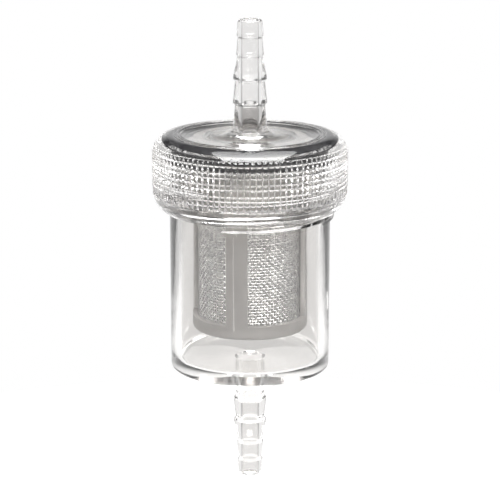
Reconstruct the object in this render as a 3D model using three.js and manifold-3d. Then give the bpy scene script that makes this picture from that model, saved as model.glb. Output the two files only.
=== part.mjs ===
import * as THREE from "three";
import { mergeVertices } from "three/addons/utils/BufferGeometryUtils.js";
import Module from "manifold-3d";

const wasm = await Module();
wasm.setup();

// An in-line fuel filter: a clear bowl and a clear screw cap, each with a hose barb of its own,
// a rubber ring between them, and a mesh strainer that hangs from the cap inside the bowl.
// Millimetres. Z is the filter's axis, the tip of the outlet barb is at z = 0, the inlet points up.

// Hose barbs: the inlet and the outlet have the same tip, ridges and neck
const BARB_BORE = 1.8; // radius of the fuel way
const TIP_RADIUS = 2.4;
const NECK_RADIUS = 3.4;
const RIDGES = [
  // distances from the tip, and the radius where each cone starts and at its crest
  { start: 0.35, crest: 3.3, end: 3.6, thin: 2.75, thick: 3.0 },
  { start: 4.2, crest: 7.6, end: 7.9, thin: 2.78, thick: 3.1 },
  { start: 8.7, crest: 12.8, end: 13.4, thin: 2.9, thick: 3.78 },
  { start: 14.3, crest: 18.2, end: 18.8, thin: 3.4, thick: 3.85 },
];
const RIDGE_STEP = 0.5; // length of the slope behind each crest

// Bowl
const OUTLET_LENGTH = 27; // from the tip to the bowl's underside
const BOWL_RADIUS = 18.3;
const BOWL_WALL = 2;
const BOWL_FLOOR = 2.5;
const BOWL_HEIGHT = 49.5; // from the underside to the rim
const BOWL_EDGE = 0.9; // rounding round the underside
const BOWL_CORNER = 1.6; // rounding inside, between the floor and the wall

// Right-handed thread between the bowl and the cap
const PITCH = 2.5;
const ROOT_WIDTH = 0.6 * PITCH;
const CREST_WIDTH = 0.28 * PITCH;
const THREAD_DEPTH = 0.9; // how far the bowl's thread stands out of its wall
const THREAD_CLEARANCE = 0.25; // radial, from each crest to the wall opposite
const THREAD_ANGLE = THREE.MathUtils.degToRad(-62); // where the bowl's thread starts, seen from above
const THREAD_DROP = 13.85; // from the rim down to the start of the bowl's thread
const BOWL_TURNS = 2.75;
const CAP_TURNS = 2.25;
const RUN_OUT = 0.12; // share of a turn over which a thread fades into its wall
const THREAD_BURIED = 0.5; // how far a thread's section reaches into its wall

// Ring seal on the bowl's rim
const SEAL_SECTION = 2.6;
const SEAL_GAP = 0.1; // above and below the ring
const SEAL_SIDE_GAP = 0.25; // between the ring and the bore of the cap's skirt

// Cap
const INLET_LENGTH = 26; // from the roof to the tip
const ROOF = 2;
const SKIRT_DEPTH = 15.1; // from the ceiling to the skirt's lower edge
const SKIRT_WALL = 2.8; // from the bore to the crests of the grip
const SKIRT_LIP = 0.25; // width of the skirt's lower face
const THREAD_LEAD = 1.2; // from the lower edge up to the start of the cap's thread
const SKIRT_ROUNDING = 0.8; // height over which the skirt's slope rounds into the grip
const GRIP_LOW = 4.7; // from the lower edge up to the grip
const GRIP_DROP = 2.4; // from the roof down to the top of the grip
const GRIP_RIBS = 104;
const GRIP_DEPTH = 0.5;
const GRIP_SET_BACK = 0.1; // the ribs' crests stand this far inside the plain rims
const GRIP_RIM = 0.4; // how far the ribs run into the plain rims
const GRIP_BURIED = 0.6; // how far the ribs reach into the skirt's wall
const SHOULDER_FOOT = 1.05; // from the grip's crests in to the foot of the domed shoulder
const SHOULDER_WIDTH = 3.9;
const SHOULDER_STEEPNESS = 0.9; // how far in the shoulder's slope aims before it bends over
const SHOULDER_DROP = 1.7; // from the roof down to the foot of the shoulder
const BOSS_RADIUS = 5.4; // round the foot of the inlet
const BOSS_TOP = 4; // radius of the boss where it meets the neck
const BOSS_HEIGHT = 0.9;

// Strainer: a moulded cage, a mesh sleeve inside it and a collar that closes it and grips the cap's spigot
const FLOW_GAP = 2.9; // between the cage and the bowl's wall
const SUMP = 7.1; // between the bowl's floor and the cage
const HEAD_GAP = 0.3; // between the strainer and the cap's ceiling
const CAGE_WALL = 1.1;
const CAGE_PLATE = 1.6;
const CAGE_EDGE = 1; // rounding round the plate
const CAGE_RING = 3.2; // height of the closed band at the bottom
const CAGE_BAND = 11; // height of the closed band at the top, collar included
const RIB_WIDTH = 4.8;
const RIB_ANGLE = THREE.MathUtils.degToRad(-102.7);
const MESH_GAP = 0.3; // round the sleeve and at its ends
const MESH_THICKNESS = 0.3;
const COLLAR_LENGTH = 9;
const COLLAR_FLANGE = 1.2;
const COLLAR_WALL = 1.5;
const FIT_CLEARANCE = 0.1; // collar in cage, and spigot in collar
const SPIGOT_LENGTH = 6.5;
const SPIGOT_WALL = 1.6;

// Facets
const ROUND = 60;
const BARB_ROUND = 30;
const BORE_ROUND = 24;
const SEAL_ROUND = 10; // round the ring's section
const ARC_STEPS = 4;
const THREAD_STEPS = 36; // per turn

// Heights and radii that follow from the sizes above
const bowlBase = OUTLET_LENGTH;
const floorTop = bowlBase + BOWL_FLOOR;
const rim = bowlBase + BOWL_HEIGHT;
const bowlInside = BOWL_RADIUS - BOWL_WALL;
const ceiling = rim + SEAL_SECTION + 2 * SEAL_GAP;
const roof = ceiling + ROOF;
const inletTip = roof + INLET_LENGTH;
const threadCrest = BOWL_RADIUS + THREAD_DEPTH;
const skirtBore = threadCrest + THREAD_CLEARANCE;
const skirtRadius = skirtBore + SKIRT_WALL;
const skirtBase = ceiling - SKIRT_DEPTH;
const gripBase = skirtBase + GRIP_LOW;
const gripTop = roof - GRIP_DROP;
const gripRoot = skirtRadius - GRIP_SET_BACK - GRIP_DEPTH;
const threadStart = rim - THREAD_DROP;
const cageRadius = bowlInside - FLOW_GAP;
const cageInside = cageRadius - CAGE_WALL;
const cageBase = floorTop + SUMP;
const strainerTop = ceiling - HEAD_GAP;
const collarBase = strainerTop - COLLAR_LENGTH;
const collarRadius = cageInside - FIT_CLEARANCE;
const collarInside = collarRadius - COLLAR_WALL;
const spigotRadius = collarInside - FIT_CLEARANCE;

// Solids

function solidOf(geometry) {
  const bare = geometry.index ? geometry.toNonIndexed() : geometry.clone();
  bare.deleteAttribute("normal");
  bare.deleteAttribute("uv");
  const merged = mergeVertices(bare, 1e-4);
  const vertProperties = merged.attributes.position.array;
  const triVerts = new Uint32Array(merged.index.array);
  return new wasm.Manifold(new wasm.Mesh({ numProp: 3, vertProperties, triVerts }));
}

function geometryOf(solid) {
  const { vertProperties, triVerts } = solid.getMesh();
  const geometry = new THREE.BufferGeometry();
  geometry.setAttribute("position", new THREE.BufferAttribute(vertProperties, 3));
  geometry.setIndex(new THREE.BufferAttribute(triVerts, 1));
  geometry.computeVertexNormals();
  return geometry;
}

// An outline of radius and height, anticlockwise and closed on itself, turned round Z
function turned(outline, segments = ROUND) {
  outline.closePath();
  const geometry = new THREE.LatheGeometry(outline.getPoints(ARC_STEPS), segments);
  return solidOf(geometry.rotateX(Math.PI / 2));
}

function ring(inside, outside, low, high) {
  const outline = new THREE.Path();
  outline.moveTo(inside, low).lineTo(outside, low).lineTo(outside, high).lineTo(inside, high);
  return turned(outline);
}

function fuelWay(low, high) {
  const geometry = new THREE.CylinderGeometry(BARB_BORE, BARB_BORE, high - low, BORE_ROUND);
  return solidOf(geometry.rotateX(Math.PI / 2).translate(0, 0, (low + high) / 2));
}

// A barb with its tip at tipZ, built towards its foot: direction is +1 or -1 along Z
function barb(tipZ, length, direction) {
  const at = (distance) => tipZ + direction * distance;
  const outline = new THREE.Path();
  outline.moveTo(0, at(0)).lineTo(TIP_RADIUS, at(0));
  RIDGES.forEach(({ start, crest, end, thin, thick }, i) => {
    const next = i + 1 < RIDGES.length ? RIDGES[i + 1].thin : NECK_RADIUS;
    outline.lineTo(thin, at(start)).lineTo(thick, at(crest)).lineTo(thick, at(end));
    outline.lineTo(next, at(end + RIDGE_STEP));
  });
  outline.lineTo(NECK_RADIUS, at(length)).lineTo(0, at(length));
  const points = outline.getPoints();
  if (direction < 0) points.reverse();
  return solidOf(new THREE.LatheGeometry(points, BARB_ROUND).rotateX(Math.PI / 2));
}

// A thread ridge on a wall: a trapezium swept up a right-handed helix, fading into the wall at its ends
function threadRidge(wall, crest, startAngle, startZ, turns) {
  const outward = Math.sign(crest - wall);
  const buried = wall - outward * THREAD_BURIED;
  const flare = (ROOT_WIDTH - CREST_WIDTH) / Math.abs(crest - wall);
  const buriedWidth = ROOT_WIDTH + flare * THREAD_BURIED;
  const steps = Math.round(turns * THREAD_STEPS);
  const positions = [];
  for (let i = 0; i <= steps; i++) {
    const turn = (i / steps) * turns;
    const angle = startAngle + turn * 2 * Math.PI;
    const z = startZ + turn * PITCH;
    const toEnd = Math.min(turn, turns - turn) / RUN_OUT;
    const reach = buried + (crest - buried) * THREE.MathUtils.clamp(toEnd, 0.1, 1);
    const section = [
      [buried, z - buriedWidth / 2],
      [reach, z - CREST_WIDTH / 2],
      [reach, z + CREST_WIDTH / 2],
      [buried, z + buriedWidth / 2],
    ];
    if (outward < 0) section.reverse();
    for (const [radius, height] of section) {
      positions.push(radius * Math.cos(angle), radius * Math.sin(angle), height);
    }
  }
  const faces = [0, 1, 2, 0, 2, 3];
  for (let i = 0; i < steps; i++) {
    for (let side = 0; side < 4; side++) {
      const a = 4 * i + side;
      const b = 4 * i + ((side + 1) % 4);
      faces.push(a, a + 4, b, b, a + 4, b + 4);
    }
  }
  const last = 4 * steps;
  faces.push(last, last + 2, last + 1, last, last + 3, last + 2);
  const geometry = new THREE.BufferGeometry();
  geometry.setAttribute("position", new THREE.Float32BufferAttribute(positions, 3));
  geometry.setIndex(faces);
  return solidOf(geometry);
}

// Bowl: a cup with the outlet barb under it and the thread near its rim

function bowl() {
  const outline = new THREE.Path();
  outline.moveTo(0, bowlBase).lineTo(BOWL_RADIUS - BOWL_EDGE, bowlBase);
  outline.quadraticCurveTo(BOWL_RADIUS, bowlBase, BOWL_RADIUS, bowlBase + BOWL_EDGE);
  outline.lineTo(BOWL_RADIUS, rim).lineTo(bowlInside, rim).lineTo(bowlInside, floorTop + BOWL_CORNER);
  outline.quadraticCurveTo(bowlInside, floorTop, bowlInside - BOWL_CORNER, floorTop);
  outline.lineTo(0, floorTop);
  return turned(outline)
    .add(barb(0, OUTLET_LENGTH + BOWL_FLOOR / 2, 1))
    .add(threadRidge(BOWL_RADIUS, threadCrest, THREAD_ANGLE, threadStart, BOWL_TURNS))
    .subtract(fuelWay(-1, floorTop + 1));
}

// Cap: a domed roof with the inlet barb, a gripped skirt with the inner thread, and a spigot

function gripRibs() {
  const points = [];
  for (let i = 0; i < 2 * GRIP_RIBS; i++) {
    const radius = gripRoot + (i % 2) * GRIP_DEPTH;
    const angle = (i / GRIP_RIBS) * Math.PI;
    points.push(new THREE.Vector2(radius * Math.cos(angle), radius * Math.sin(angle)));
  }
  const outline = new THREE.Shape(points);
  outline.holes.push(new THREE.Path().absarc(0, 0, gripRoot - GRIP_BURIED, 0, 2 * Math.PI, true));
  const depth = gripTop - gripBase;
  const geometry = new THREE.ExtrudeGeometry(outline, { depth, bevelEnabled: false, curveSegments: ROUND });
  return solidOf(geometry.translate(0, 0, gripBase));
}

function cap() {
  const grooveLow = gripBase + GRIP_RIM;
  const grooveHigh = gripTop - GRIP_RIM;
  const groove = gripRoot - GRIP_SET_BACK;
  const shoulder = skirtRadius - SHOULDER_FOOT;
  const shoulderFoot = roof - SHOULDER_DROP;
  const outline = new THREE.Path();
  outline.moveTo(0, ceiling).lineTo(skirtBore, ceiling).lineTo(skirtBore, skirtBase);
  outline.lineTo(skirtBore + SKIRT_LIP, skirtBase);
  outline.quadraticCurveTo(skirtRadius, gripBase - SKIRT_ROUNDING, skirtRadius, grooveLow);
  outline.lineTo(groove, grooveLow).lineTo(groove, grooveHigh).lineTo(skirtRadius, grooveHigh);
  outline.lineTo(skirtRadius, gripTop).lineTo(shoulder, shoulderFoot);
  outline.quadraticCurveTo(shoulder - SHOULDER_STEEPNESS, roof, shoulder - SHOULDER_WIDTH, roof);
  outline.lineTo(BOSS_RADIUS, roof).lineTo(BOSS_TOP, roof + BOSS_HEIGHT);
  outline.lineTo(0, roof + BOSS_HEIGHT);
  const spigot = ring(spigotRadius - SPIGOT_WALL, spigotRadius, ceiling - SPIGOT_LENGTH, ceiling + ROOF / 2);
  const threadZ = skirtBase + THREAD_LEAD;
  const meshing = (threadZ - threadStart) / PITCH - 0.5; // turns from the bowl's start to the cap's
  const threadAngle = THREAD_ANGLE + meshing * 2 * Math.PI;
  return turned(outline)
    .add(gripRibs())
    .add(barb(inletTip, INLET_LENGTH + ROOF / 2, -1))
    .add(spigot)
    .add(threadRidge(skirtBore, BOWL_RADIUS + THREAD_CLEARANCE, threadAngle, threadZ, CAP_TURNS))
    .subtract(fuelWay(ceiling - 1, inletTip + 1));
}

// Ring seal

function rimSeal() {
  const radius = SEAL_SECTION / 2;
  const torus = new THREE.TorusGeometry(skirtBore - SEAL_SIDE_GAP - radius, radius, SEAL_ROUND, ROUND);
  return solidOf(torus.translate(0, 0, rim + SEAL_GAP + radius));
}

// Strainer

function cage() {
  const top = strainerTop - COLLAR_FLANGE - FIT_CLEARANCE;
  const plateTop = cageBase + CAGE_PLATE;
  const outline = new THREE.Path();
  outline.moveTo(0, cageBase).lineTo(cageRadius - CAGE_EDGE, cageBase);
  outline.quadraticCurveTo(cageRadius, cageBase, cageRadius, cageBase + CAGE_EDGE);
  outline.lineTo(cageRadius, top).lineTo(cageInside, top).lineTo(cageInside, plateTop).lineTo(0, plateTop);
  let solid = turned(outline);
  const low = cageBase + CAGE_RING;
  const high = strainerTop - CAGE_BAND;
  for (let i = 0; i < 4; i++) {
    const window = new THREE.BoxGeometry(cageRadius, cageRadius, high - low);
    const middle = (RIB_WIDTH + cageRadius) / 2;
    window.translate(middle, middle, (low + high) / 2);
    window.rotateZ(RIB_ANGLE + (i * Math.PI) / 2);
    solid = solid.subtract(solidOf(window));
  }
  return solid;
}

function meshSleeve() {
  const outside = cageInside - MESH_GAP;
  const low = cageBase + CAGE_PLATE + MESH_GAP;
  return ring(outside - MESH_THICKNESS, outside, low, collarBase - MESH_GAP);
}

function collar() {
  const flange = ring(collarInside, cageRadius, strainerTop - COLLAR_FLANGE, strainerTop);
  return ring(collarInside, collarRadius, collarBase, strainerTop).add(flange);
}

// Assembly

const filter = new THREE.Group();

function place(name, solid, look) {
  const mesh = new THREE.Mesh(geometryOf(solid), new THREE.MeshStandardMaterial(look));
  mesh.name = name;
  filter.add(mesh);
}

const clear = { color: 0xe6e4e0, roughness: 0.06, metalness: 0, transparent: true, opacity: 0.35 };
place("bowl", bowl(), clear);
place("cap", cap(), clear);
place("rim_seal", rimSeal(), { color: 0x101010, roughness: 0.5, metalness: 0 });
place("strainer_cage", cage(), { color: 0xb9b8b5, roughness: 0.35, metalness: 0 });
place("strainer_mesh", meshSleeve(), { color: 0x9b9890, roughness: 0.3, metalness: 0.9 });
place("strainer_collar", collar(), { color: 0xb9b8b5, roughness: 0.35, metalness: 0 });

export default filter;
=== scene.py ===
import math

import bmesh
import bpy
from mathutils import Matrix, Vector


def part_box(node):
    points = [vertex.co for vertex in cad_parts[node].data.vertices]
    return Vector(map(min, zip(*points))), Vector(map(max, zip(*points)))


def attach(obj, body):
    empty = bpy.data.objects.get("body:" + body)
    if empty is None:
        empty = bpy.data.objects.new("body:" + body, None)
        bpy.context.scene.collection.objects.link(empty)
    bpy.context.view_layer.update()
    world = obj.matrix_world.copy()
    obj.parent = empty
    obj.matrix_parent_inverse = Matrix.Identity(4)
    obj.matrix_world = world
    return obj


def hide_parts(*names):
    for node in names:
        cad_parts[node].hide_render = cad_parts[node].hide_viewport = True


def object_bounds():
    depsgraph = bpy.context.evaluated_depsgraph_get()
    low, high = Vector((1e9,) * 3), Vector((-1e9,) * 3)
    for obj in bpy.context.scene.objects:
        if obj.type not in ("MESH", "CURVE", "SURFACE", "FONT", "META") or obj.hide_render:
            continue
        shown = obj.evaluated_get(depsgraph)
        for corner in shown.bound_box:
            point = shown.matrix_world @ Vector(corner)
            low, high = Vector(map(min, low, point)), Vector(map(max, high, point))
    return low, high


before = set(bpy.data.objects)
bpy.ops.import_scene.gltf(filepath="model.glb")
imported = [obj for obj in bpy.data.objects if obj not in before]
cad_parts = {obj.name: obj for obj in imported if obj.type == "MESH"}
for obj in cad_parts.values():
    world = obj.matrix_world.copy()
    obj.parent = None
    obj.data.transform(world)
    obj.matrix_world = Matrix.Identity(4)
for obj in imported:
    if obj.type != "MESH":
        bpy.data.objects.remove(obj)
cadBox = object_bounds()
mm = 0.001
bowlLow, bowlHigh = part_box("bowl")
capLow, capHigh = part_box("cap")
sealLow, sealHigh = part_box("rim_seal")
cageLow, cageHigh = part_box("strainer_cage")
meshLow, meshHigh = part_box("strainer_mesh")
collarLow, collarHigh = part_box("strainer_collar")
print("frame loaded", len(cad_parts), "nodes")


# Modelling helpers

def startEditing(selectMode="VERT"):
    bpy.ops.object.mode_set(mode="EDIT")
    bpy.ops.mesh.select_mode(type=selectMode)
    bpy.ops.mesh.select_all(action="DESELECT")


def selectFaces(piece, isWanted):
    shape = bmesh.from_edit_mesh(piece.data)
    for face in shape.faces:
        face.select_set(isWanted(face.calc_center_median(), face.normal))
    bmesh.update_edit_mesh(piece.data)


def selectVertices(piece, isWanted):
    shape = bmesh.from_edit_mesh(piece.data)
    for vertex in shape.verts:
        vertex.select_set(isWanted(vertex.co))
    shape.select_flush(True)
    bmesh.update_edit_mesh(piece.data)


def pickOnly(piece):
    bpy.ops.object.select_all(action="DESELECT")
    piece.select_set(True)
    bpy.context.view_layer.objects.active = piece


def radiusOf(point):
    return math.hypot(point.x, point.y)


def curve(start, bend, end, steps):
    points = []
    for step in range(steps + 1):
        t = step / steps
        points.append(start * (1 - t) ** 2 + bend * 2 * t * (1 - t) + end * t ** 2)
    return points


# corners are (radius, height, rounding) in metres, in order round a closed outline
def roundOutline(corners, arcSteps=3):
    outline = []
    for index, (radius, height, rounding) in enumerate(corners):
        corner = Vector((radius, height))
        if rounding == 0:
            outline.append(corner)
            continue
        before = Vector(corners[index - 1][:2]) - corner
        after = Vector(corners[(index + 1) % len(corners)][:2]) - corner
        start = corner + before.normalized() * rounding
        end = corner + after.normalized() * rounding
        outline += curve(start, corner, end, arcSteps)
    return outline


# A ring of edges is extruded along the outline, grown or shrunk at each step, and closed on itself
def turnOutline(name, outline, steps):
    bpy.ops.object.select_all(action="DESELECT")
    here = outline[0]
    bpy.ops.mesh.primitive_circle_add(vertices=steps, radius=here.x, location=(0, 0, here.y))
    piece = bpy.context.object
    piece.name = name
    bpy.ops.object.transform_apply(location=True, rotation=True, scale=True)
    startEditing()
    bpy.ops.mesh.select_all(action="SELECT")
    for point in outline[1:]:
        bpy.ops.mesh.extrude_edges_move(TRANSFORM_OT_translate={"value": (0, 0, point.y - here.y)})
        grow = point.x / here.x
        bpy.ops.transform.resize(value=(grow, grow, 1), center_override=(0, 0, point.y))
        here = point
    bpy.ops.mesh.select_all(action="DESELECT")
    bpy.ops.mesh.select_non_manifold()
    bpy.ops.mesh.bridge_edge_loops()
    bpy.ops.mesh.select_all(action="SELECT")
    bpy.ops.mesh.normals_make_consistent(inside=False)
    bpy.ops.object.mode_set(mode="OBJECT")
    return piece


def applyModifier(piece, kind, **settings):
    pickOnly(piece)
    modifier = piece.modifiers.new(kind.lower(), kind)
    for key, value in settings.items():
        setattr(modifier, key, value)
    bpy.ops.object.modifier_apply(modifier=modifier.name)


def joinSolid(piece, other):
    applyModifier(piece, "BOOLEAN", object=other, operation="UNION", solver="EXACT")
    bpy.data.objects.remove(other)


def smoothByAngle(piece, degrees=32):
    pickOnly(piece)
    bpy.ops.object.shade_smooth_by_angle(angle=math.radians(degrees))


def finishPiece(piece, body, node, material, smoothAngle=32):
    smoothByAngle(piece, smoothAngle)
    piece.data.materials.clear()
    piece.data.materials.append(material)
    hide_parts(node)
    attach(piece, body)
    print(piece.name, "made,", len(piece.data.polygons), "faces")


# Materials

# A noise texture seldom leaves this range
noiseLow = 0.3
noiseHigh = 0.7


def newMaterial(name):
    material = bpy.data.materials.new(name)
    material.use_nodes = True
    nodes = material.node_tree.nodes
    shader = nodes["Principled BSDF"]
    place = nodes.new("ShaderNodeTexCoord")
    return material, shader, place


def addNoise(material, place, scale, detail=3.0):
    noise = material.node_tree.nodes.new("ShaderNodeTexNoise")
    noise.inputs["Scale"].default_value = scale
    noise.inputs["Detail"].default_value = detail
    material.node_tree.links.new(place.outputs["Object"], noise.inputs["Vector"])
    return noise.outputs["Fac"]


def addRange(material, value, low, high):
    spread = material.node_tree.nodes.new("ShaderNodeMapRange")
    spread.inputs["From Min"].default_value = noiseLow
    spread.inputs["From Max"].default_value = noiseHigh
    spread.inputs["To Min"].default_value = low
    spread.inputs["To Max"].default_value = high
    material.node_tree.links.new(value, spread.inputs["Value"])
    return spread.outputs["Result"]


def addBlend(material, value, darkColor, lightColor):
    ramp = material.node_tree.nodes.new("ShaderNodeValToRGB")
    ramp.color_ramp.elements[0].position = noiseLow
    ramp.color_ramp.elements[1].position = noiseHigh
    ramp.color_ramp.elements[0].color = (*darkColor, 1)
    ramp.color_ramp.elements[1].color = (*lightColor, 1)
    material.node_tree.links.new(value, ramp.inputs["Fac"])
    return ramp.outputs["Color"]


def addBump(material, shader, value, distance, strength=0.5):
    bump = material.node_tree.nodes.new("ShaderNodeBump")
    bump.inputs["Distance"].default_value = distance
    bump.inputs["Strength"].default_value = strength
    material.node_tree.links.new(value, bump.inputs["Height"])
    material.node_tree.links.new(bump.outputs["Normal"], shader.inputs["Normal"])


# Light passes straight through clear plastic to what stands behind it
def letLightThrough(material, shader, color):
    nodes = material.node_tree.nodes
    links = material.node_tree.links
    path = nodes.new("ShaderNodeLightPath")
    clear = nodes.new("ShaderNodeBsdfTransparent")
    clear.inputs["Color"].default_value = (*color, 1)
    mix = nodes.new("ShaderNodeMixShader")
    links.new(path.outputs["Is Shadow Ray"], mix.inputs["Fac"])
    links.new(shader.outputs["BSDF"], mix.inputs[1])
    links.new(clear.outputs["BSDF"], mix.inputs[2])
    links.new(mix.outputs["Shader"], nodes["Material Output"].inputs["Surface"])


# Stops are (height in metres, color) from the bottom up, with a blend between one and the next
def addHeightTints(material, place, stops):
    nodes = material.node_tree.nodes
    links = material.node_tree.links
    tallest = cadBox[1].z
    split = nodes.new("ShaderNodeSeparateXYZ")
    links.new(place.outputs["Object"], split.inputs["Vector"])
    height = nodes.new("ShaderNodeMapRange")
    height.inputs["From Max"].default_value = tallest
    links.new(split.outputs["Z"], height.inputs["Value"])
    ramp = nodes.new("ShaderNodeValToRGB")
    elements = ramp.color_ramp.elements
    for index, (stop, color) in enumerate(stops):
        position = stop / tallest
        element = elements[index] if index < len(elements) else elements.new(position)
        element.position = position
        element.color = (*color, 1)
    links.new(height.outputs["Result"], ramp.inputs["Fac"])
    return ramp.outputs["Color"]


def addProduct(material, first, second):
    mix = material.node_tree.nodes.new("ShaderNodeMix")
    mix.data_type = "RGBA"
    mix.blend_type = "MULTIPLY"
    mix.inputs["Factor"].default_value = 1
    material.node_tree.links.new(first, mix.inputs["A"])
    material.node_tree.links.new(second, mix.inputs["B"])
    return mix.outputs["Result"]


clearLook = {
    "ior": 1.52,
    "shadowColor": (0.93, 0.92, 0.91),
    "flowColor": (0.955, 0.955, 0.955),  # streaks in the moulding, as a share of its tint
    "glossiest": 0.012,
    "dullest": 0.045,
    "flowScale": 90,
    "hazeScale": 420,
    "hazeDetail": 5,
    "flowBump": 0.00003,
    "flowStrength": 0.4,
}


def clearPlastic(name, look, tints):
    material, shader, place = newMaterial(name)
    links = material.node_tree.links
    flow = addNoise(material, place, look["flowScale"])
    haze = addNoise(material, place, look["hazeScale"], look["hazeDetail"])
    streaks = addBlend(material, flow, look["flowColor"], (1, 1, 1))
    tint = addProduct(material, addHeightTints(material, place, tints), streaks)
    links.new(tint, shader.inputs["Base Color"])
    links.new(addRange(material, haze, look["glossiest"], look["dullest"]), shader.inputs["Roughness"])
    shader.inputs["IOR"].default_value = look["ior"]
    shader.inputs["Transmission Weight"].default_value = 1
    addBump(material, shader, flow, look["flowBump"], look["flowStrength"])
    letLightThrough(material, shader, look["shadowColor"])
    return material


rubberLook = {
    "deepColor": (0.006, 0.006, 0.007),
    "wornColor": (0.018, 0.018, 0.019),
    "sheen": 0.06,
    "grainScale": 2600,
    "grainDetail": 4,
    "grainBump": 0.00002,
    "patchScale": 260,
    "smoothest": 0.5,
    "roughest": 0.65,
}


def blackRubber(look):
    material, shader, place = newMaterial("nitrile rubber")
    links = material.node_tree.links
    grain = addNoise(material, place, look["grainScale"], look["grainDetail"])
    patches = addNoise(material, place, look["patchScale"])
    links.new(addBlend(material, patches, look["deepColor"], look["wornColor"]), shader.inputs["Base Color"])
    links.new(addRange(material, patches, look["smoothest"], look["roughest"]), shader.inputs["Roughness"])
    shader.inputs["Specular IOR Level"].default_value = look["sheen"]
    addBump(material, shader, grain, look["grainBump"])
    return material


cageLook = {
    "darkColor": (0.42, 0.41, 0.40),
    "lightColor": (0.52, 0.51, 0.50),
    "cloudScale": 140,
    "moldScale": 700,
    "moldDetail": 4,
    "moldBump": 0.00003,
    "moldStrength": 0.3,
    "smoothest": 0.28,
    "roughest": 0.42,
    "ior": 1.5,
    "clearness": 0.9,
}


def frostedPlastic(name, look):
    material, shader, place = newMaterial(name)
    links = material.node_tree.links
    cloud = addNoise(material, place, look["cloudScale"])
    mold = addNoise(material, place, look["moldScale"], look["moldDetail"])
    links.new(addBlend(material, cloud, look["darkColor"], look["lightColor"]), shader.inputs["Base Color"])
    links.new(addRange(material, mold, look["smoothest"], look["roughest"]), shader.inputs["Roughness"])
    shader.inputs["IOR"].default_value = look["ior"]
    shader.inputs["Transmission Weight"].default_value = look["clearness"]
    addBump(material, shader, mold, look["moldBump"], look["moldStrength"])
    return material


steelLook = {
    "darkColor": (0.30, 0.30, 0.30),
    "brightColor": (0.60, 0.60, 0.595),
    "drawScale": (1600, 1600, 900),
    "drawBump": 0.00001,
    "drawStrength": 0.3,
    "smoothest": 0.38,
    "roughest": 0.55,
}


def drawnSteel(look):
    material, shader, place = newMaterial("stainless wire")
    links = material.node_tree.links
    stretch = material.node_tree.nodes.new("ShaderNodeMapping")
    stretch.inputs["Scale"].default_value = look["drawScale"]
    links.new(place.outputs["Object"], stretch.inputs["Vector"])
    marks = material.node_tree.nodes.new("ShaderNodeTexNoise")
    marks.inputs["Scale"].default_value = 1
    links.new(stretch.outputs["Vector"], marks.inputs["Vector"])
    color = addBlend(material, marks.outputs["Fac"], look["darkColor"], look["brightColor"])
    links.new(color, shader.inputs["Base Color"])
    roughness = addRange(material, marks.outputs["Fac"], look["smoothest"], look["roughest"])
    links.new(roughness, shader.inputs["Roughness"])
    shader.inputs["Metallic"].default_value = 1
    addBump(material, shader, marks.outputs["Fac"], look["drawBump"], look["drawStrength"])
    return material


rubberMaterial = blackRubber(rubberLook)
cageMaterial = frostedPlastic("frosted cage plastic", cageLook)
steelMaterial = drawnSteel(steelLook)
print("materials made")


# Hose barbs and threads, which both mouldings have

barb = {
    "bore": 1.8 * mm,
    "tip": 2.4 * mm,
    "neck": 3.4 * mm,
    "rounding": 0.14 * mm,
    "slope": 0.5 * mm,  # length of the step behind each crest
    # distances from the tip to where a ridge starts, crests and ends, then its thin and thick radius
    "ridges": [
        (0.35, 3.3, 3.6, 2.75, 3.0),
        (4.2, 7.6, 7.9, 2.78, 3.1),
        (8.7, 12.8, 13.4, 2.9, 3.78),
        (14.3, 18.2, 18.8, 3.4, 3.85),
    ],
}


# Corners from the tip's bore edge to the foot of the last ridge; direction is +1 or -1 along Z
def barbCorners(tipHeight, direction):
    soft = barb["rounding"]
    corners = [(barb["bore"], tipHeight, soft), (barb["tip"], tipHeight, soft)]
    ridges = [[size * mm for size in ridge] for ridge in barb["ridges"]]
    for index, (start, crest, end, thin, thick) in enumerate(ridges):
        following = ridges[index + 1][3] if index + 1 < len(ridges) else barb["neck"]
        corners.append((thin, tipHeight + direction * start, soft))
        corners.append((thick, tipHeight + direction * crest, soft))
        corners.append((thick, tipHeight + direction * end, soft))
        corners.append((following, tipHeight + direction * (end + barb["slope"]), soft))
    return corners


thread = {
    "pitch": 2.5 * mm,
    "rootWidth": 1.5 * mm,
    "crestWidth": 0.7 * mm,
    "buried": 0.5 * mm,
    "stepsPerTurn": 52,
    "runOut": 3.5 * mm,  # length in which each end of the ridge sinks into the wall
}


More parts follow.
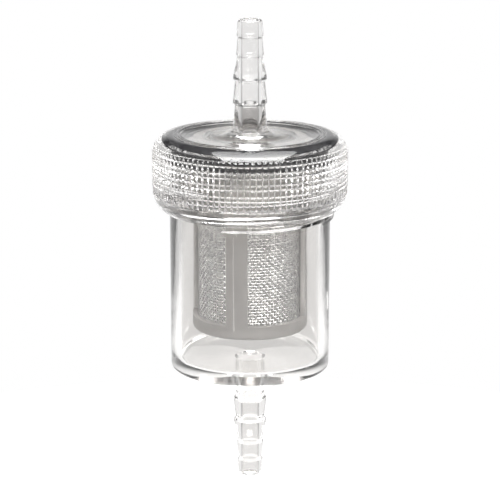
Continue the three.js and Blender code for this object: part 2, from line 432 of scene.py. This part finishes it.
# A trapezium section swept up a helix; reach is its height out of the wall, inwards if negative
def threadRidge(wall, reach, startHeight, startDegrees, turns):
    side = math.copysign(1, reach)
    flare = (thread["rootWidth"] - thread["crestWidth"]) / abs(reach)
    buriedHalf = (thread["rootWidth"] + flare * thread["buried"]) / 2
    crestHalf = thread["crestWidth"] / 2
    bpy.ops.object.select_all(action="DESELECT")
    bpy.ops.mesh.primitive_plane_add(size=1, location=(0, 0, 0))
    ridge = bpy.context.object
    inner = wall - side * thread["buried"]
    outer = wall + reach
    section = [(inner, -buriedHalf), (outer, -crestHalf), (inner, buriedHalf), (outer, crestHalf)]
    for vertex, (radius, height) in zip(ridge.data.vertices, section):
        vertex.co = (radius, 0, startHeight + height)
    startEditing()
    bpy.ops.mesh.select_all(action="SELECT")
    bpy.ops.mesh.delete(type="ONLY_FACE")
    bpy.ops.object.mode_set(mode="OBJECT")
    steps = round(turns * thread["stepsPerTurn"])
    applyModifier(
        ridge, "SCREW", axis="Z", angle=turns * 2 * math.pi, screw_offset=turns * thread["pitch"],
        steps=steps, render_steps=steps,
    )
    startEditing()
    bpy.ops.mesh.select_non_manifold()
    bpy.ops.mesh.fill_holes(sides=0)
    endHeight = startHeight + turns * thread["pitch"]
    for height, angle in ((startHeight, 0), (endHeight, turns * 2 * math.pi)):
        ray = Vector((math.cos(angle), math.sin(angle), 0))
        crestPoint = ray * outer + Vector((0, 0, height))
        selectVertices(ridge, lambda co: (co - crestPoint).length < thread["crestWidth"])
        shrink = (wall - side * thread["buried"] / 2) / outer
        bpy.ops.transform.resize(
            value=(shrink, shrink, 1), center_override=(0, 0, height), use_proportional_edit=True,
            proportional_edit_falloff="SMOOTH", proportional_size=thread["runOut"],
            use_proportional_connected=True,
        )
    bpy.ops.mesh.select_all(action="SELECT")
    bpy.ops.mesh.normals_make_consistent(inside=False)
    bpy.ops.object.mode_set(mode="OBJECT")
    ridge.rotation_euler.z = math.radians(startDegrees)
    pickOnly(ridge)
    bpy.ops.object.transform_apply(location=True, rotation=True, scale=True)
    return ridge


# Bowl

bowl = {
    "radius": 18.3 * mm,
    "wall": 2 * mm,
    "outletLength": 27 * mm,
    "floor": 2.5 * mm,
    "edge": 0.9 * mm,
    "corner": 1.6 * mm,
    "foot": 0.7 * mm,
    "rimEdge": 0.25 * mm,
    "threadDepth": 0.9 * mm,
    "threadDrop": 14.22 * mm,
    "threadDegrees": -115,
    "threadTurns": 2.9,
    "steps": 120,
    # heights above the bowl's underside: the thin outlet looks paler than the thick wall
    "tints": [
        (-0.5, (0.965, 0.955, 0.945)),
        (1.5, (0.885, 0.874, 0.862)),
    ],
}


def makeBowl():
    tip = bowlLow.z
    rim = bowlHigh.z
    base = tip + bowl["outletLength"]
    floorTop = base + bowl["floor"]
    inside = bowl["radius"] - bowl["wall"]
    corners = barbCorners(tip, 1)
    corners += [
        (barb["neck"], base, bowl["foot"]),
        (bowl["radius"], base, bowl["edge"]),
        (bowl["radius"], rim, bowl["rimEdge"]),
        (inside, rim, bowl["rimEdge"]),
        (inside, floorTop, bowl["corner"]),
        (barb["bore"], floorTop, barb["rounding"]),
    ]
    piece = turnOutline("clear_bowl", roundOutline(corners), bowl["steps"])
    start = rim - bowl["threadDrop"]
    ridge = threadRidge(
        bowl["radius"], bowl["threadDepth"], start, bowl["threadDegrees"], bowl["threadTurns"])
    joinSolid(piece, ridge)
    tints = [(base + height * mm, color) for height, color in bowl["tints"]]
    material = clearPlastic("clear bowl moulding", clearLook, tints)
    finishPiece(piece, "bowl", "bowl", material)


makeBowl()


# Cap

cap = {
    "radius": 22.2 * mm,
    "skirtBore": 19.45 * mm,
    "skirtDepth": 15.1 * mm,
    "lip": 0.25 * mm,
    "inletLength": 26 * mm,
    "roof": 2 * mm,
    "bossRadius": 5.4 * mm,
    "bossTop": 4.0 * mm,
    "bossHeight": 0.9 * mm,
    "bossTopRounding": 0.15 * mm,
    "bossFootHeight": 0.15 * mm,
    "bossFootRounding": 0.25 * mm,
    "bossSlope": 1.5 * mm,  # distance out in which the foot's edge would run down to the roof
    "bossSpread": 0.8 * mm,
    "beads": [(17.2, 0.13), (16.3, 0.10), (15.6, 0.06)],  # radius and height of the rings on the roof
    "beadHalf": 0.22 * mm,
    "shoulderTop": 17.6 * mm,
    "shoulderFoot": 21.2 * mm,
    "shoulderDrop": 1.7 * mm,
    "shoulderBend": 0.6 * mm,
    "shoulderSteps": 9,
    "lipDrop": 2.0 * mm,
    "lipWidth": 0.15 * mm,
    "gripTop": 3.05 * mm,  # from the roof down
    "rowHeights": [1.55, 1.05, 1.55, 1.05, 1.55, 1.05],
    "toothHeight": 2.6 * mm,
    "toothInset": 0.12 * mm,
    "footBend": 0.5 * mm,  # the curve from the teeth in to the skirt's rim
    "footBendHeight": 1.6 * mm,
    "footSteps": 5,
    "edge": 0.12 * mm,
    "columns": 104,
    "cellBevels": [(0.17, 0.36), (0.14, 0.10)],  # width and rise of the two slopes round each cell
    "cellDepth": 0.46 * mm,
    "lipShare": 0.6,  # height of the cells on the slope over the grip
    "reach": 0.2 * mm,  # faces this close to the groove belong to the grip
    "toothFade": 0.6 * mm,  # height in which the teeth sink back at their foot
    "crestReach": 0.1 * mm,  # vertices this close to the full radius are on the teeth's crests
    "spigotOuter": 10.6 * mm,
    "spigotInner": 9.0 * mm,
    "spigotLength": 6.5 * mm,
    "threadReach": 0.9 * mm,
    "threadLead": 1.2 * mm,
    "threadTurns": 2.25,
    # heights above the skirt's rim, then above the roof: the rim and the neck are darkened by painted shade,
    # the inlet is paler
    "rimShadeTints": [
        (3.0, (0.66, 0.65, 0.64)),
        (3.9, (0.93, 0.92, 0.91)),
    ],
    "neckShadeTints": [
        (-0.5, (0.93, 0.92, 0.91)),
        (0.7, (0.70, 0.69, 0.68)),
        (5.9, (0.70, 0.69, 0.68)),
        (7.7, (0.99, 0.985, 0.98)),
    ],
}


# Each selected cell becomes a raised block with a steep slope and then a shallow one round it
def insetCells(share):
    for width, rise in cap["cellBevels"]:
        bpy.ops.mesh.inset(thickness=width * mm, depth=rise * mm * share, use_individual=True)


def makeCap():
    tip = capHigh.z
    roof = tip - cap["inletLength"]
    ceiling = roof - cap["roof"]
    skirtBase = capLow.z
    grooveRadius = cap["radius"] - cap["cellDepth"]
    soft = cap["edge"]
    outline = roundOutline(barbCorners(tip, -1) + [
        (cap["bossTop"], roof + cap["bossHeight"], cap["bossTopRounding"]),
        (cap["bossRadius"], roof + cap["bossFootHeight"], cap["bossFootRounding"]),
        (cap["bossRadius"] + cap["bossSlope"], roof, 0),
    ])[:-1]
    outline.append(Vector((cap["bossRadius"] + cap["bossSpread"], roof)))
    for radius, height in reversed(cap["beads"]):
        for side, share in ((-1, 0), (-0.5, 0.8), (0, 1), (0.5, 0.8), (1, 0)):
            outline.append(Vector((radius * mm + side * cap["beadHalf"], roof + share * height * mm)))
    start = Vector((cap["shoulderTop"], roof))
    bend = Vector((cap["shoulderFoot"] - cap["shoulderBend"], roof))
    end = Vector((cap["shoulderFoot"], roof - cap["shoulderDrop"]))
    outline += curve(start, bend, end, cap["shoulderSteps"])
    outline.append(Vector((cap["shoulderFoot"] + cap["lipWidth"], roof - cap["lipDrop"])))
    gripTop = roof - cap["gripTop"]
    height = gripTop
    outline.append(Vector((grooveRadius, height)))
    for row in cap["rowHeights"]:
        height -= row * mm
        outline.append(Vector((grooveRadius, height)))
    toothTop = height
    toothFoot = height - cap["toothHeight"]
    start = Vector((cap["radius"] - cap["toothInset"], toothFoot))
    bend = Vector((cap["radius"] - cap["footBend"], skirtBase + cap["footBendHeight"]))
    end = Vector((cap["skirtBore"] + cap["lip"], skirtBase))
    outline += curve(start, bend, end, cap["footSteps"])
    innerCorners = [
        (cap["skirtBore"], skirtBase, soft),
        (cap["skirtBore"], ceiling, 2 * soft),
        (cap["spigotOuter"], ceiling, 2 * soft),
        (cap["spigotOuter"], ceiling - cap["spigotLength"], 2 * soft),
        (cap["spigotInner"], ceiling - cap["spigotLength"], 2 * soft),
        (cap["spigotInner"], ceiling, 2 * soft),
        (barb["bore"], ceiling, barb["rounding"]),
    ]
    outline += roundOutline([(cap["skirtBore"] + cap["lip"], skirtBase, 0)] + innerCorners + [
        (barb["bore"], tip, 0),
    ])[1:-1]
    piece = turnOutline("clear_cap", outline, cap["columns"])
    pickOnly(piece)
    startEditing("FACE")
    gripInside = grooveRadius - cap["reach"]
    lipHeight = roof - cap["lipDrop"]

    def onSlope(at, normal):
        return gripTop < at.z < lipHeight and normal.z > 0 and radiusOf(at) > cap["shoulderFoot"]

    selectFaces(piece, lambda at, normal: toothTop < at.z < gripTop and radiusOf(at) > gripInside)
    insetCells(1)
    selectFaces(piece, onSlope)
    insetCells(cap["lipShare"])
    selectFaces(piece, lambda at, normal: toothFoot < at.z < toothTop and radiusOf(at) > gripInside)
    insetCells(1)
    bpy.ops.mesh.select_mode(type="VERT")
    footLine = toothFoot + cap["toothFade"]
    crestInside = cap["radius"] - cap["crestReach"]
    selectVertices(piece, lambda co: toothFoot < co.z < footLine and radiusOf(co) > crestInside)
    shrink = 1 - cap["cellDepth"] / cap["radius"]
    bpy.ops.transform.resize(value=(shrink, shrink, 1), center_override=(0, 0, 0))
    bpy.ops.object.mode_set(mode="OBJECT")
    startHeight = skirtBase + cap["threadLead"]
    bowlStart = bowlHigh.z - bowl["threadDrop"]
    meshing = (startHeight - bowlStart) / thread["pitch"] - 0.5
    degrees = bowl["threadDegrees"] + meshing * 360
    ridge = threadRidge(cap["skirtBore"], -cap["threadReach"], startHeight, degrees, cap["threadTurns"])
    joinSolid(piece, ridge)
    # the dark bands at the rim and the neck are painted shade, not a tint of the plastic
    tints = [(skirtBase + height * mm, color) for height, color in cap["rimShadeTints"]]
    tints += [(roof + height * mm, color) for height, color in cap["neckShadeTints"]]
    material = clearPlastic("clear cap moulding", clearLook, tints)
    finishPiece(piece, "cap", "cap", material)


makeCap()


# Ring seal, squeezed flat between the bowl's rim and the cap's ceiling

seal = {
    "inside": 16.0 * mm,
    "outside": 19.3 * mm,
    "squeeze": 0.9 * mm,  # rounding left at the corners of the squeezed section
    "touch": 0.03 * mm,  # how far the soft ring beds into the faces that squeeze it
    "flash": 0.05 * mm,
    "steps": 120,
}


def makeSeal():
    low = bowlHigh.z - seal["touch"]
    high = capHigh.z - cap["inletLength"] - cap["roof"] + seal["touch"]
    soft = seal["squeeze"]
    middle = (low + high) / 2
    corners = [
        (seal["inside"], low, soft),
        (seal["outside"], low, soft),
        (seal["outside"], high, soft),
        (seal["inside"], high, soft),
        (seal["inside"], middle + 2 * seal["flash"], 0),
        (seal["inside"] - seal["flash"], middle, 0),
        (seal["inside"], middle - 2 * seal["flash"], 0),
    ]
    piece = turnOutline("ring_seal", roundOutline(corners, 6), seal["steps"])
    finishPiece(piece, "rim_seal", "rim_seal", rubberMaterial, 60)


makeSeal()


# Strainer cage: a cup with four windows

cage = {
    "wall": 1.1 * mm,
    "plate": 1.6 * mm,
    "edge": 1 * mm,
    "ring": 3.2 * mm,
    "band": 11 * mm,
    "steps": 120,
    "ribSteps": 7,
    "ribDegrees": -102.7,
    "bevel": 0.12 * mm,
    "corner": 0.3 * mm,
    "centre": 0.4 * mm,  # radius of the hole left by the turning, which a face then closes
    "slackDegrees": 0.1,
}


def makeCage():
    outside = cageHigh.x
    inside = outside - cage["wall"]
    plateTop = cageLow.z + cage["plate"]
    windowLow = cageLow.z + cage["ring"]
    windowHigh = collarHigh.z - cage["band"]
    centre = cage["centre"]
    corners = [
        (centre, cageLow.z, 0),
        (outside, cageLow.z, cage["edge"]),
        (outside, windowLow, 0),
        (outside, windowHigh, 0),
        (outside, cageHigh.z, cage["bevel"]),
        (inside, cageHigh.z, cage["bevel"]),
        (inside, windowHigh, 0),
        (inside, windowLow, 0),
        (inside, plateTop, cage["corner"]),
        (centre, plateTop, 0),
    ]
    piece = turnOutline("strainer_basket", roundOutline(corners), cage["steps"])
    pickOnly(piece)
    startEditing("FACE")
    selectFaces(piece, lambda at, normal: radiusOf(at) < centre)
    bpy.ops.mesh.delete(type="FACE")
    bpy.ops.mesh.select_mode(type="EDGE")
    bpy.ops.mesh.select_non_manifold()
    bpy.ops.mesh.fill_holes(sides=0)
    bpy.ops.mesh.select_mode(type="FACE")
    stepDegrees = 360 / cage["steps"]
    quarterSteps = cage["steps"] // 4

    def inWindow(at, normal):
        if not windowLow < at.z < windowHigh:
            return False
        step = math.floor(math.degrees(math.atan2(at.y, at.x)) / stepDegrees)
        return step % quarterSteps >= cage["ribSteps"]

    selectFaces(piece, inWindow)
    bpy.ops.mesh.delete(type="FACE")
    bpy.ops.mesh.select_mode(type="EDGE")
    slack = cage["slackDegrees"]
    for quarter in range(4):
        first = (quarter * quarterSteps + cage["ribSteps"]) * stepDegrees
        last = (quarter + 1) * quarterSteps * stepDegrees
        bpy.ops.mesh.select_all(action="DESELECT")
        bpy.ops.mesh.select_non_manifold()
        shape = bmesh.from_edit_mesh(piece.data)
        for edge in shape.edges:
            at = (edge.verts[0].co + edge.verts[1].co) / 2
            degrees = math.degrees(math.atan2(at.y, at.x)) % 360
            onSeam = last == 360 and degrees < slack
            if not first - slack < degrees < last + slack and not onSeam:
                edge.select_set(False)
        bmesh.update_edit_mesh(piece.data)
        bpy.ops.mesh.bridge_edge_loops()
    bpy.ops.mesh.select_all(action="SELECT")
    bpy.ops.mesh.normals_make_consistent(inside=False)
    bpy.ops.object.mode_set(mode="OBJECT")
    piece.rotation_euler.z = math.radians(cage["ribDegrees"] - cage["ribSteps"] * stepDegrees / 2)
    pickOnly(piece)
    bpy.ops.object.transform_apply(location=True, rotation=True, scale=True)
    applyModifier(
        piece, "BEVEL", width=cage["bevel"], segments=2, limit_method="ANGLE", angle_limit=math.radians(60))
    finishPiece(piece, "strainer", "strainer_cage", cageMaterial)


makeCage()


# Collar that closes the basket and grips the cap's spigot

collar = {
    "wall": 1.5 * mm,
    "flange": 1.2 * mm,
    "fit": 0.1 * mm,
    "edge": 0.2 * mm,
    "steps": 96,
}


def makeCollar():
    outside = cageHigh.x - cage["wall"] - collar["fit"]
    inside = outside - collar["wall"]
    flangeLow = collarHigh.z - collar["flange"]
    corners = [
        (inside, collarLow.z, collar["edge"]),
        (outside, collarLow.z, collar["edge"]),
        (outside, flangeLow, 0),
        (collarHigh.x, flangeLow, collar["edge"]),
        (collarHigh.x, collarHigh.z, collar["edge"]),
        (inside, collarHigh.z, collar["edge"]),
    ]
    piece = turnOutline("strainer_top", roundOutline(corners), collar["steps"])
    finishPiece(piece, "strainer", "strainer_collar", cageMaterial)


makeCollar()


# Woven sleeve: upright warp wires that weave in and out of level weft rings

weave = {
    "sleeveWall": 0.3 * mm,
    "wire": 0.12 * mm,  # radius
    "columns": 112,
    "rows": 47,
    "wave": 0.14 * mm,
    "sides": 5,
}
sleeveRadius = (meshHigh.x + meshHigh.x - weave["sleeveWall"]) / 2


def makeWarp():
    rowPitch = (meshHigh.z - meshLow.z) / weave["rows"]
    turn = 2 * math.pi / weave["columns"]
    bpy.ops.object.select_all(action="DESELECT")
    wires = []
    for phase in (1, -1):
        bpy.ops.mesh.primitive_circle_add(
            vertices=weave["sides"], radius=weave["wire"], fill_type="NGON",
            location=(sleeveRadius, 0, meshLow.z),
        )
        wire = bpy.context.object
        bpy.ops.object.transform_apply(location=True, rotation=True, scale=True)
        startEditing("FACE")
        bpy.ops.mesh.select_all(action="SELECT")
        side = phase
        for row in range(weave["rows"]):
            for direction in (side, -side):
                bpy.ops.mesh.extrude_region_move(
                    TRANSFORM_OT_translate={"value": (direction * weave["wave"], 0, rowPitch / 2)})
            side = -side
        bpy.ops.mesh.select_all(action="SELECT")
        bpy.ops.mesh.normals_make_consistent(inside=False)
        bpy.ops.object.mode_set(mode="OBJECT")
        wire.rotation_euler.z = turn if phase < 0 else 0
        bpy.ops.object.transform_apply(location=True, rotation=True, scale=True)
        wires.append(wire)
    bpy.ops.object.select_all(action="DESELECT")
    for wire in wires:
        wire.select_set(True)
    bpy.context.view_layer.objects.active = wires[0]
    bpy.ops.object.join()
    piece = bpy.context.object
    piece.name = "mesh_warp"
    startEditing()
    bpy.ops.mesh.select_all(action="SELECT")
    copies = weave["columns"] // 2
    bpy.ops.mesh.spin(
        steps=copies, dupli=True, angle=2 * math.pi, center=(0, 0, 0), axis=(0, 0, 1))
    bpy.ops.mesh.delete(type="VERT")
    bpy.ops.object.mode_set(mode="OBJECT")
    return piece


# Every second ring is turned by one wire, so that neighbouring rings pass the warp on opposite sides
def turnSelected(piece, angle):
    cosine = math.cos(angle)
    sine = math.sin(angle)
    for vertex in piece.data.vertices:
        if vertex.select:
            x, y, z = vertex.co
            vertex.co = (x * cosine - y * sine, x * sine + y * cosine, z)


def makeWeft():
    rowPitch = (meshHigh.z - meshLow.z) / weave["rows"]
    stepCount = weave["columns"] * 2
    bpy.ops.object.select_all(action="DESELECT")
    bpy.ops.mesh.primitive_torus_add(
        major_radius=sleeveRadius, minor_radius=weave["wire"], major_segments=stepCount,
        minor_segments=weave["sides"], location=(0, 0, meshLow.z + rowPitch / 2),
    )
    piece = bpy.context.object
    piece.name = "mesh_weft"
    bpy.ops.object.transform_apply(location=True, rotation=True, scale=True)
    startEditing()

    def stepOf(co):
        return round(math.atan2(co.y, co.x) / (2 * math.pi) * stepCount)

    for offset, side in ((0, -1), (2, 1)):
        selectVertices(piece, lambda co: stepOf(co) % 4 == offset)
        grow = 1 + side * weave["wave"] / sleeveRadius
        bpy.ops.transform.resize(value=(grow, grow, 1), center_override=(0, 0, 0))
    bpy.ops.mesh.select_all(action="SELECT")
    for row in range(weave["rows"] - 1):
        bpy.ops.mesh.duplicate()
        bpy.ops.transform.translate(value=(0, 0, rowPitch))
    selectVertices(piece, lambda co: math.floor((co.z - meshLow.z) / rowPitch) % 2 == 1)
    bpy.ops.object.mode_set(mode="OBJECT")
    turnSelected(piece, 2 * math.pi / weave["columns"])
    return piece


def makeSleeve():
    warp = makeWarp()
    finishPiece(warp, "strainer", "strainer_mesh", steelMaterial, 60)
    weft = makeWeft()
    finishPiece(weft, "strainer", "strainer_mesh", steelMaterial, 60)


makeSleeve()


# Studio

studio = {
    "floorHeight": -0.05,
    "floorRadius": 0.22,
    "floorColor": (0.05, 0.05, 0.05),
    "floorRoughness": 0.9,
    "pitch": 14.65,
    "lens": 138.3,
    "sensor": 36,
    "distance": 0.4267,
    "height": 0.1657,
    # pale wall all round up to a height, shaded at both sides and in front of the object
    "wallTop": 0.26,
    "wallSoft": 0.12,
    "lowPower": 0.92,
    "sideShade": 0.55,
    "sideSpan": (-0.35, 0.45),
    "frontShade": 0.5,
    "frontEnd": -0.45,
    "shadeSoft": 0.2,
    "dark": 0.04,
    # planes that bound the softbox overhead, by their normals, and how its light falls off to the back
    "boxLeft": (0.868, -0.283, 0.410),
    "boxRight": (-0.805, -0.331, 0.494),
    "boxLow": 0.42,
    "boxPower": 9,
    "boxFalloff": -9,
    "boxSoft": 0.012,
    "boxLowSoft": 0.015,
    "floorGlow": 0.92,  # the table's glow as the object reflects it
    "stripPlace": (-0.17, -0.40, -0.05),
    "stripTarget": (0, 0, 0.055),
    "stripSize": (0.014, 0.22),
    "stripPower": 0.05,
}


def makeFloor():
    bpy.ops.object.select_all(action="DESELECT")
    bpy.ops.mesh.primitive_circle_add(
        vertices=96, radius=studio["floorRadius"], fill_type="NGON",
        location=(0, 0, studio["floorHeight"]),
    )
    floor = bpy.context.object
    floor.name = "floor"
    material, shader, place = newMaterial("pale table")
    shader.inputs["Base Color"].default_value = (*studio["floorColor"], 1)
    shader.inputs["Roughness"].default_value = studio["floorRoughness"]
    shader.inputs["Emission Color"].default_value = (1, 1, 1, 1)
    path = material.node_tree.nodes.new("ShaderNodeLightPath")
    glow = material.node_tree.nodes.new("ShaderNodeMath")
    glow.operation = "MAXIMUM"
    glow.inputs[1].default_value = studio["floorGlow"]
    material.node_tree.links.new(path.outputs["Is Camera Ray"], glow.inputs[0])
    material.node_tree.links.new(glow.outputs["Value"], shader.inputs["Emission Strength"])
    floor.data.materials.append(material)


def makeWorld():
    world = bpy.data.worlds.new("studio")
    bpy.context.scene.world = world
    world.use_nodes = True
    nodes = world.node_tree.nodes
    links = world.node_tree.links
    background = nodes["Background"]
    place = nodes.new("ShaderNodeTexCoord")
    split = nodes.new("ShaderNodeSeparateXYZ")
    links.new(place.outputs["Generated"], split.inputs["Vector"])

    def between(value, low, high, soft):
        rise = nodes.new("ShaderNodeMapRange")
        rise.interpolation_type = "SMOOTHSTEP"
        rise.inputs["From Min"].default_value = low - soft
        rise.inputs["From Max"].default_value = low + soft
        links.new(value, rise.inputs["Value"])
        fall = nodes.new("ShaderNodeMapRange")
        fall.interpolation_type = "SMOOTHSTEP"
        fall.inputs["From Min"].default_value = high - soft
        fall.inputs["From Max"].default_value = high + soft
        fall.inputs["To Min"].default_value = 1
        fall.inputs["To Max"].default_value = 0
        links.new(value, fall.inputs["Value"])
        both = nodes.new("ShaderNodeMath")
        both.operation = "MULTIPLY"
        links.new(rise.outputs["Result"], both.inputs[0])
        links.new(fall.outputs["Result"], both.inputs[1])
        return both.outputs["Value"]

    def combine(operation, first, second):
        node = nodes.new("ShaderNodeMath")
        node.operation = operation
        for socket, value in zip(node.inputs, (first, second)):
            if isinstance(value, (int, float)):
                socket.default_value = value
            else:
                links.new(value, socket)
        return node.outputs["Value"]

    def beyond(normal):
        dot = nodes.new("ShaderNodeVectorMath")
        dot.operation = "DOT_PRODUCT"
        dot.inputs[1].default_value = normal
        links.new(place.outputs["Generated"], dot.inputs[0])
        return between(dot.outputs["Value"], 0, 2, studio["boxSoft"])

    # directions have parts from -1 to 1, so a limit of 2 or -2 is never reached
    y = split.outputs["Y"]
    z = split.outputs["Z"]
    soft = studio["shadeSoft"]
    low = between(z, -2, studio["wallTop"], studio["wallSoft"])
    sideShade = combine("MULTIPLY", between(y, *studio["sideSpan"], soft), studio["sideShade"])
    frontShade = combine("MULTIPLY", between(y, -2, studio["frontEnd"], soft), studio["frontShade"])
    shade = combine("MAXIMUM", sideShade, frontShade)
    lowLight = combine("MULTIPLY", low, combine("SUBTRACT", studio["lowPower"], shade))
    overhead = combine("MULTIPLY", beyond(studio["boxLeft"]), beyond(studio["boxRight"]))
    overhead = combine("MULTIPLY", overhead, between(z, studio["boxLow"], 2, studio["boxLowSoft"]))
    power = combine("ADD", combine("MULTIPLY", y, studio["boxFalloff"]), studio["boxPower"])
    overhead = combine("MULTIPLY", overhead, power)
    light = combine("MAXIMUM", combine("MAXIMUM", lowLight, overhead), studio["dark"])
    path = nodes.new("ShaderNodeLightPath")
    shown = combine("MAXIMUM", light, path.outputs["Is Camera Ray"])
    links.new(shown, background.inputs["Strength"])
    background.inputs["Color"].default_value = (1, 1, 1, 1)


# A thin light at the left that draws the upright highlight on the bowl
def addStrip():
    lamp = bpy.data.lights.new("strip", "AREA")
    lamp.shape = "RECTANGLE"
    lamp.size, lamp.size_y = studio["stripSize"]
    lamp.energy = studio["stripPower"]
    holder = bpy.data.objects.new("strip", lamp)
    bpy.context.scene.collection.objects.link(holder)
    holder.location = studio["stripPlace"]
    aim = Vector(studio["stripTarget"]) - Vector(studio["stripPlace"])
    holder.rotation_euler = aim.to_track_quat("-Z", "Y").to_euler()
    holder.visible_camera = False


def makeCamera():
    camera = bpy.data.cameras.new("camera")
    camera.lens = studio["lens"]
    camera.sensor_width = studio["sensor"]
    camera.clip_start = 0.01
    holder = bpy.data.objects.new("camera", camera)
    bpy.context.scene.collection.objects.link(holder)
    holder.location = (0, -studio["distance"], studio["height"])
    holder.rotation_euler = (math.radians(90 - studio["pitch"]), 0, 0)
    bpy.context.scene.camera = holder


makeFloor()
makeWorld()
addStrip()
makeCamera()
scene = bpy.context.scene
scene.view_settings.view_transform = "Standard"
scene.cycles.max_bounces = 32
scene.cycles.transmission_bounces = 32
scene.cycles.transparent_max_bounces = 32
scene.cycles.glossy_bounces = 16
print("studio made")
